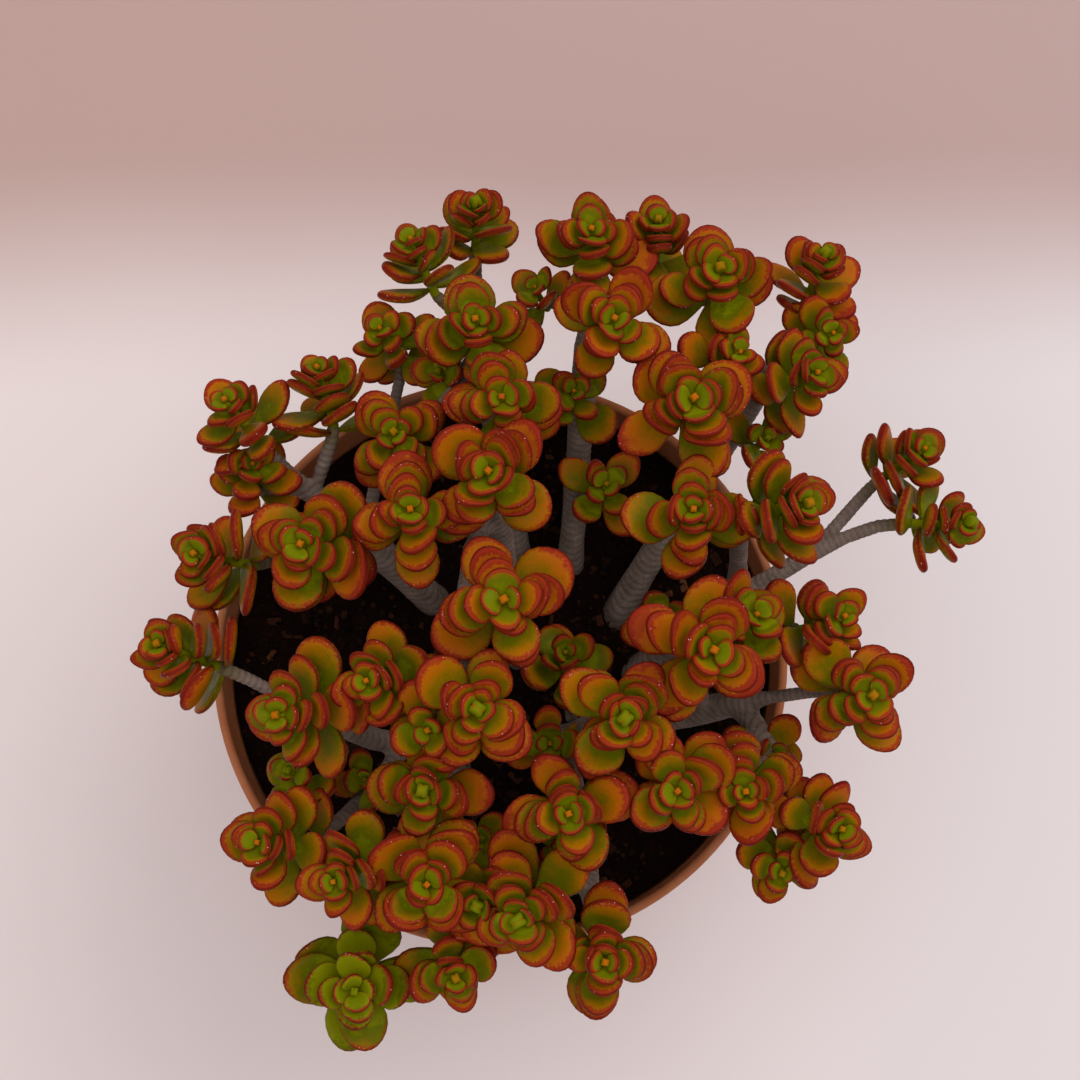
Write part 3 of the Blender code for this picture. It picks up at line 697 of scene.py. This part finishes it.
def evened(node, name):
    """A copy of the CAD node with its skin remade in even, voxel-sized faces."""
    copy = bpy.data.objects.new(name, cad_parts[node].data.copy())
    bpy.context.scene.collection.objects.link(copy)
    bm = bmesh.new()
    bm.from_mesh(copy.data)
    bmesh.ops.remove_doubles(bm, verts=bm.verts, dist=0.01 * MM)
    bm.to_mesh(copy.data)
    bm.free()
    step = copy.modifiers.new("even", "REMESH")
    step.mode = "VOXEL"
    step.voxel_size = VOXEL
    mesh = bpy.data.meshes.new_from_object(copy.evaluated_get(bpy.context.evaluated_depsgraph_get()))
    bpy.data.objects.remove(copy, do_unlink=True)
    drop_specks(mesh)
    return mesh


def read_floats(items, field, width):
    """One row of numbers for each of a mesh's items."""
    values = np.empty(len(items) * width)
    items.foreach_get(field, values)
    return values.reshape(-1, width)


def blurred(values, edges, rounds):
    """Each point's values drawn towards those of its neighbours, again and again."""
    count = len(values)
    starts, ends = edges.T
    degree = np.bincount(edges.ravel(), minlength=count)[:, None]
    for _ in range(rounds):
        near = np.stack([
            np.bincount(starts, column[ends], count) + np.bincount(ends, column[starts], count)
            for column in values.T
        ], axis=1)
        values = (values + near / degree) / 2
    return values


def along_bark(points, edges, faces):
    """How far each point is from the stem's foot, measured over the bark, along edges and across faces."""
    ways = np.vstack([edges, faces[:, [0, 2]], faces[:, [1, 3]]])
    lengths = np.linalg.norm(points[ways[:, 0]] - points[ways[:, 1]], axis=1).tolist()
    around = [[] for _ in points]
    for (start, end), length in zip(ways.tolist(), lengths):
        around[start].append((end, length))
        around[end].append((start, length))
    feet = np.flatnonzero(points[:, 2] < points[:, 2].min() + VOXEL).tolist()
    reached = [math.inf] * len(around)
    queue = [(0.0, foot) for foot in feet]
    for foot in feet:
        reached[foot] = 0.0
    while queue:
        length, spot = heapq.heappop(queue)
        if length > reached[spot]:
            continue
        for other, step in around[spot]:
            if length + step < reached[other] - 1e-9:
                reached[other] = length + step
                heapq.heappush(queue, (length + step, other))
    return np.array(reached)


def make_stem(limb, stands, finish):
    """Rounds the limb's bark and raises the rings that fallen leaves left around it."""
    chance = random.Random(limb)
    mesh = evened(limb + "_stem", limb + "_bark")
    points = read_floats(mesh.vertices, "co", 3)
    edges = np.array([edge.vertices[:] for edge in mesh.edges])
    faces = np.array([face.vertices[:] for face in mesh.polygons if len(face.vertices) == 4])
    rounded = blurred(points, edges, ROUNDING)
    mesh.vertices.foreach_set("co", rounded.ravel())
    normals = read_floats(mesh.vertex_normals, "vector", 3)
    sunk = np.sum((rounded - points) * normals, axis=1, keepdims=True)
    rounded -= normals * blurred(sunk, edges, REFILLING)

    spots = [Vector(point) for point in points]
    wander = np.array([noise.noise(spot * 45) for spot in spots]) * WANDERING
    swell = np.array([noise.noise(spot * 55 + Vector((7, 3, 1))) for spot in spots])
    depth = np.array([noise.noise(spot * 130 + Vector((2, 9, 5))) for spot in spots])
    lengths = blurred(along_bark(rounded, edges, faces)[:, None], edges, RING_EVENING)[:, 0] + wander
    phase = (lengths / (chance.uniform(*RING_GAP) * MM)) % 1.0
    relief = all_eased(np.minimum(phase, 1 - phase) * 3.4)
    rounded += normals * ((relief - 0.7) * (0.8 + 0.5 * depth) * RING_HEIGHT + swell * SWELLING)[:, None]
    mesh.vertices.foreach_set("co", rounded.ravel())

    seats = np.array([stand.seat for stand in stands])
    near = np.linalg.norm(points[:, None] - seats[None], axis=2).min(axis=1)
    for trait, values in (
        # The ring relief also sets the bark's tone: painted light on ridges, painted shade in grooves.
        ("ridge", relief),
        ("young", all_eased(1 - near / YOUNG_END)),
        ("damp", all_eased(1 - (points[:, 2] - SOIL_EDGE_HEIGHT) / DAMP_FOOT)),
    ):
        mesh.attributes.new(trait, "FLOAT", "POINT").data.foreach_set("value", values)
    mesh.update()
    bm = bmesh.new()
    bm.from_mesh(mesh)
    bpy.data.meshes.remove(mesh)
    piece_of(bm, limb + "_bark", finish, [limb + "_stem"])


# Pot and soil

POT_SIDES, SOIL_SIDES, SOIL_RINGS = 144, 176, 64
WALL, LIP, BAND_DROP, BAND_STEP, BAND_DRAFT = 3.2 * MM, 4.4 * MM, 32 * MM, 3.0 * MM, 2.0 * MM
POT_FLOOR = 4.0 * MM
DRAIN_RADIUS, DRAIN_REACH, DRAINS = 6.0 * MM, 60 * MM, 4


def arc(middle, radius, start, end, steps):
    """Points of a profile's rounded corner, as (reach, height)."""
    for step in range(steps + 1):
        turn = math.radians(start + (end - start) * step / steps)
        yield middle[0] + radius * math.cos(turn), middle[1] + radius * math.sin(turn)


def lathe(profile, sides):
    """A round body from its profile of (reach, height) points."""
    bm = bmesh.new()
    points = [bm.verts.new((reach, 0, height)) for reach, height in profile]
    edges = [bm.edges.new(pair) for pair in zip(points, points[1:])]
    bmesh.ops.spin(
        bm, geom=points + edges, cent=(0, 0, 0), axis=(0, 0, 1), angle=2 * math.pi, steps=sides, use_merge=True,
    )
    bmesh.ops.remove_doubles(bm, verts=bm.verts, dist=0.01 * MM)
    bmesh.ops.recalc_face_normals(bm, faces=bm.faces)
    return bm


def pot_profile():
    """The pot's outline: up the outside from the middle of its underside, over the lip and down the inside."""
    band_bottom = LIP_HEIGHT - BAND_DROP
    shoulder = RIM - BAND_DRAFT - BAND_STEP
    half = LIP / 2
    foot_round = 2.5 * MM
    return [
        (0, 1.5 * MM), (FOOT - 16 * MM, 1.5 * MM), (FOOT - 13 * MM, 0), (FOOT - foot_round, 0),
        *arc((FOOT - foot_round, foot_round), foot_round, -70, 0, 4),
        (shoulder - 0.8 * MM, band_bottom - 3 * MM),
        *arc((shoulder + 1.0 * MM, band_bottom - 0.6 * MM), 1.0 * MM, 180, 90, 4),
        *arc((RIM - BAND_DRAFT - 1.2 * MM, band_bottom + 0.9 * MM), 1.2 * MM, -80, 0, 4),
        *arc((RIM - half, LIP_HEIGHT - half), half, 5, 178, 12),
        (shoulder - WALL + 0.8 * MM, band_bottom + 1.0 * MM),
        (shoulder - WALL - 0.8 * MM, band_bottom - 4 * MM),
        (FOOT - WALL + 1.6 * MM, POT_FLOOR + foot_round + 4 * MM),
        *arc((FOOT - WALL - 2.0 * MM, POT_FLOOR + 3.4 * MM), 3.4 * MM, -10, -90, 4),
        (0, POT_FLOOR),
    ]


def cut_drains(pot):
    """Bores the drain holes through the pot's floor."""
    for index in range(DRAINS):
        bearing = 2 * math.pi * (index + 0.5) / DRAINS
        bm = bmesh.new()
        place = Matrix.Translation((DRAIN_REACH * math.cos(bearing), DRAIN_REACH * math.sin(bearing), 0))
        bmesh.ops.create_cone(
            bm, cap_ends=True, segments=32, radius1=DRAIN_RADIUS, radius2=DRAIN_RADIUS,
            depth=4 * POT_FLOOR, matrix=place,
        )
        mesh = bpy.data.meshes.new("drain")
        bm.to_mesh(mesh)
        bm.free()
        drill = bpy.data.objects.new("drain", mesh)
        bpy.context.scene.collection.objects.link(drill)
        step = pot.modifiers.new("drain", "BOOLEAN")
        step.operation = "DIFFERENCE"
        step.solver = "EXACT"
        step.object = drill
        evaluated = pot.evaluated_get(bpy.context.evaluated_depsgraph_get())
        cut = bpy.data.meshes.new_from_object(evaluated)
        pot.modifiers.clear()
        pot.data = cut
        bpy.data.objects.remove(drill, do_unlink=True)


def make_pot(finish):
    """The pot, knowing at each point how high it is and whether that is inside."""
    bm = lathe(pot_profile(), POT_SIDES)
    height = bm.verts.layers.float.new("height")
    inside = bm.verts.layers.float.new("inside")
    for vert in bm.verts:
        reach = vert.co.xy.length
        wall_middle = FOOT + (RIM - FOOT) * vert.co.z / LIP_HEIGHT - WALL * 0.9
        vert[height] = vert.co.z / LIP_HEIGHT
        vert[inside] = 1.0 if reach < wall_middle - 1.5 * MM and vert.co.z > 3 * MM else 0.0
    pot = piece_of(bm, "pot_shell", finish, ["pot"], flat_angle=50)
    cut_drains(pot)


def soil_surface(reach):
    """How high the mix stands that far from the middle: mounded, and lowest at the wall."""
    mound = 0.5 + 0.5 * math.cos(math.pi * min(reach / SOIL_EDGE, 1))
    return SOIL_EDGE_HEIGHT + (SOIL_TOP - SOIL_EDGE_HEIGHT) * mound


def soil_lumps(place):
    """How far the loose mix stands above or below its even surface."""
    coarse = noise.fractal(place * 55, 1.0, 2.0, 4)
    fine = noise.noise(place * 310)
    return coarse * 2.2 * MM + fine * 0.7 * MM


def make_soil(finish):
    """The mix in the pot, with a lumpy top."""
    low = float(SOIL[:, 2].min())
    base = float(np.hypot(*SOIL[SOIL[:, 2] < low + 0.1 * MM][:, :2].T).max())
    profile = [(0, low), (base, low), (SOIL_EDGE - 0.8 * MM, SOIL_EDGE_HEIGHT - 3 * MM)]
    profile += [
        ((SOIL_EDGE - 0.4 * MM) * ring / SOIL_RINGS, soil_surface(SOIL_EDGE * ring / SOIL_RINGS))
        for ring in range(SOIL_RINGS, -1, -1)
    ]
    bm = lathe(profile, SOIL_SIDES)
    for vert in bm.verts:
        reach = vert.co.xy.length
        if vert.co.z > LIP_HEIGHT / 2 and reach < SOIL_EDGE - MM:
            vert.co.z += soil_lumps(vert.co) * eased((SOIL_EDGE - reach) / (6 * MM))
    piece_of(bm, "potting_mix", finish, ["soil"])


CRUMBS, CHIPS = 2600, 170
CRUMB_HUES = ((0.006, 0.002, 0.001), (0.014, 0.005, 0.003), (0.040, 0.014, 0.006), (0.010, 0.005, 0.003))
CHIP_HUES = ((0.090, 0.028, 0.012), (0.045, 0.016, 0.008), (0.130, 0.050, 0.022), (0.022, 0.008, 0.004))


def scatter(name, count, make_one, hues, seed, finish):
    """Loose bits strewn over the mix, half sunk in it."""
    chance = random.Random(seed)
    bm = bmesh.new()
    hue = bm.verts.layers.float_color.new("hue")
    for _ in range(count):
        reach = (SOIL_EDGE - 5 * MM) * math.sqrt(chance.random())
        bearing = chance.uniform(0, 2 * math.pi)
        place = Vector((reach * math.cos(bearing), reach * math.sin(bearing), soil_surface(reach)))
        place.z += soil_lumps(place)
        verts, size = make_one(bm, chance)
        lay = Matrix.LocRotScale(
            place + UP * size * 0.25,
            (Matrix.Rotation(chance.uniform(0, 2 * math.pi), 3, "Z")
             @ Matrix.Rotation(chance.gauss(0, 0.45), 3, "X")
             @ Matrix.Rotation(chance.gauss(0, 0.45), 3, "Y")).to_quaternion(),
            Vector((1, 1, 1)),
        )
        bmesh.ops.transform(bm, matrix=lay, verts=verts)
        colour = Vector(chance.choice(hues)) * chance.uniform(0.6, 1.35)
        for vert in verts:
            vert[hue] = (*colour, 1)
    bmesh.ops.recalc_face_normals(bm, faces=bm.faces)
    piece_of(bm, name, finish, [], flat_angle=35)


def crumb(bm, chance):
    """A rough crumb of mix."""
    size = chance.uniform(0.6, 2.2) * MM
    verts = bmesh.ops.create_icosphere(bm, subdivisions=1, radius=size)["verts"]
    for vert in verts:
        vert.co *= chance.uniform(0.65, 1.2)
        vert.co.z *= 0.75
    return verts, size


def chip(bm, chance):
    """A flat splinter of bark with broken edges."""
    size = [chance.uniform(*span) * MM for span in ((4, 12), (2, 5.5), (0.9, 2.2))]
    corners = bmesh.ops.create_cube(bm, size=1.0)["verts"]
    for vert in corners:
        vert.co = Vector([value * side * chance.uniform(0.6, 1.1) for value, side in zip(vert.co, size)])
    edges = list({edge for vert in corners for edge in vert.link_edges})
    rounded = bmesh.ops.bevel(
        bm, geom=edges, offset=size[2] * 0.22, segments=1, profile=0.5, material=-1, affect="EDGES",
    )
    return list({vert for face in rounded["faces"] for vert in face.verts}), size[2]


# Stage, light and camera

FLOOR_REACH = 6.0


def make_floor():
    bm = bmesh.new()
    bmesh.ops.create_grid(bm, x_segments=1, y_segments=1, size=FLOOR_REACH)
    mesh = bpy.data.meshes.new("floor")
    bm.to_mesh(mesh)
    bm.free()
    mesh.materials.append(floor_finish())
    floor = bpy.data.objects.new("floor", mesh)
    bpy.context.scene.collection.objects.link(floor)


# Each soft round light's place, width, power in watts and colour
LIGHTS = {
    "window": ((0.9, 0.7, 1.9), 1.6, 18, (1.0, 0.96, 0.93)),
    "overhead": ((-0.4, -0.4, 2.3), 2.0, 13, (1.0, 0.97, 0.96)),
}
ROOM_COLOUR, ROOM_LIGHT = (1.0, 0.93, 0.92, 1), 0.62


def add_light(name, place, size, power, colour):
    """A light turned to the middle of the crown's foot."""
    data = bpy.data.lights.new(name, "AREA")
    data.shape = "DISK"
    data.size = size
    data.energy = power
    data.color = colour
    lamp = bpy.data.objects.new(name, data)
    lamp.location = place
    lamp.rotation_euler = (Vector(place) - UP * LIP_HEIGHT).to_track_quat("Z", "Y").to_euler()
    bpy.context.scene.collection.objects.link(lamp)


def light_studio():
    world = bpy.data.worlds.new("studio")
    world.use_nodes = True
    background = world.node_tree.nodes["Background"]
    background.inputs["Color"].default_value = ROOM_COLOUR
    background.inputs["Strength"].default_value = ROOM_LIGHT
    bpy.context.scene.world = world
    for name, (place, size, power, colour) in LIGHTS.items():
        add_light(name, place, size, power, colour)


CAMERA_TILT = math.radians(77.8)  # up from level
CAMERA_AIM, CAMERA_DISTANCE = (0.138, 0.407), 7.04  # in rim radii: the spot over the lip looked at, and how far off
SENSOR = 36  # mm
FRAME_WIDTH = 0.54  # what the frame takes in, as a share of the distance


def place_camera():
    back = Vector((0, -math.cos(CAMERA_TILT), math.sin(CAMERA_TILT)))
    aim = Vector((CAMERA_AIM[0] * RIM, CAMERA_AIM[1] * RIM, LIP_HEIGHT))
    data = bpy.data.cameras.new("camera")
    data.sensor_width = SENSOR
    data.lens = SENSOR / FRAME_WIDTH
    camera = bpy.data.objects.new("camera", data)
    camera.location = aim + back * CAMERA_DISTANCE * RIM
    camera.rotation_euler = back.to_track_quat("Z", "Y").to_euler()
    bpy.context.scene.collection.objects.link(camera)
    bpy.context.scene.camera = camera


place_camera()
make_floor()
light_studio()
bpy.context.scene.view_settings.view_transform = "Standard"

leaf = leaf_finish()
bark = bark_finish()
stands = make_shoots(leaf)
make_sprigs(leaf, bark)
for limb in LIMBS:
    make_stem(limb, stands, bark)
make_pot(pot_finish())
make_soil(soil_finish())
loose = chip_finish()
scatter("soil_crumbs", CRUMBS, crumb, CRUMB_HUES, 5, loose)
scatter("bark_chips", CHIPS, chip, CHIP_HUES, 9, loose)
